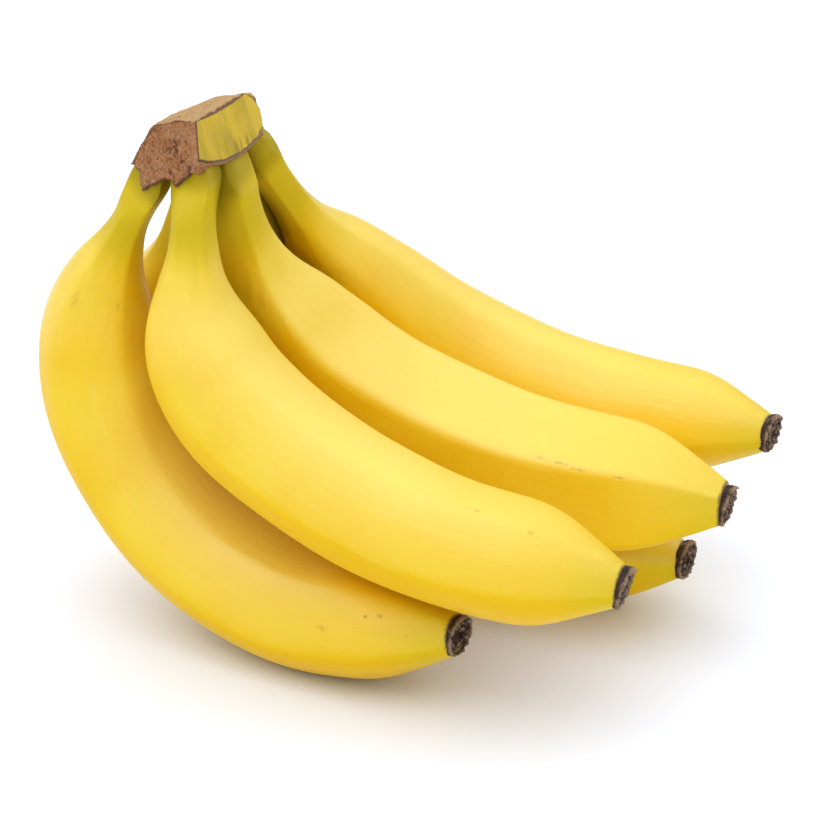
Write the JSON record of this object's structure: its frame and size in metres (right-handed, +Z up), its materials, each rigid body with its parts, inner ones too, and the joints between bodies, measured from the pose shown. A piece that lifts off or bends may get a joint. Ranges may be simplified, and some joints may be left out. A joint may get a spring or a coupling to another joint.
{
  "type": "bunch of bananas",
  "caption": "Hand of ripe yellow bananas fanned from one cut crown, lying on its lower fruits, with brown dried flower ends.",
  "frame": {"origin": "on the surface that the bunch lies on, below the middle of its bounding box", "axes": "+Z up; +X along the bunch from the crown towards the fruits' tips; +Y towards the row of fruits that lies behind"},
  "size_m": [0.2297, 0.1532, 0.17],
  "materials": {
    "peel": "satin, waxy, greener at the neck",
    "crown_skin": "matt, fibrous brown where it is cut",
    "dried_end": "matt, dry and rough"
  },
  "bodies": {
    "root": {"crown": "crown_skin", "banana_left": "peel", "banana_front": "peel", "banana_middle": "peel", "banana_back": "peel", "banana_lower_right": "peel", "banana_lower_left": "peel", "flower_end_left": "dried_end", "flower_end_front": "dried_end", "flower_end_middle": "dried_end", "flower_end_back": "dried_end", "flower_end_lower_right": "dried_end", "flower_end_lower_left": "dried_end"}
  },
  "joints": []
}
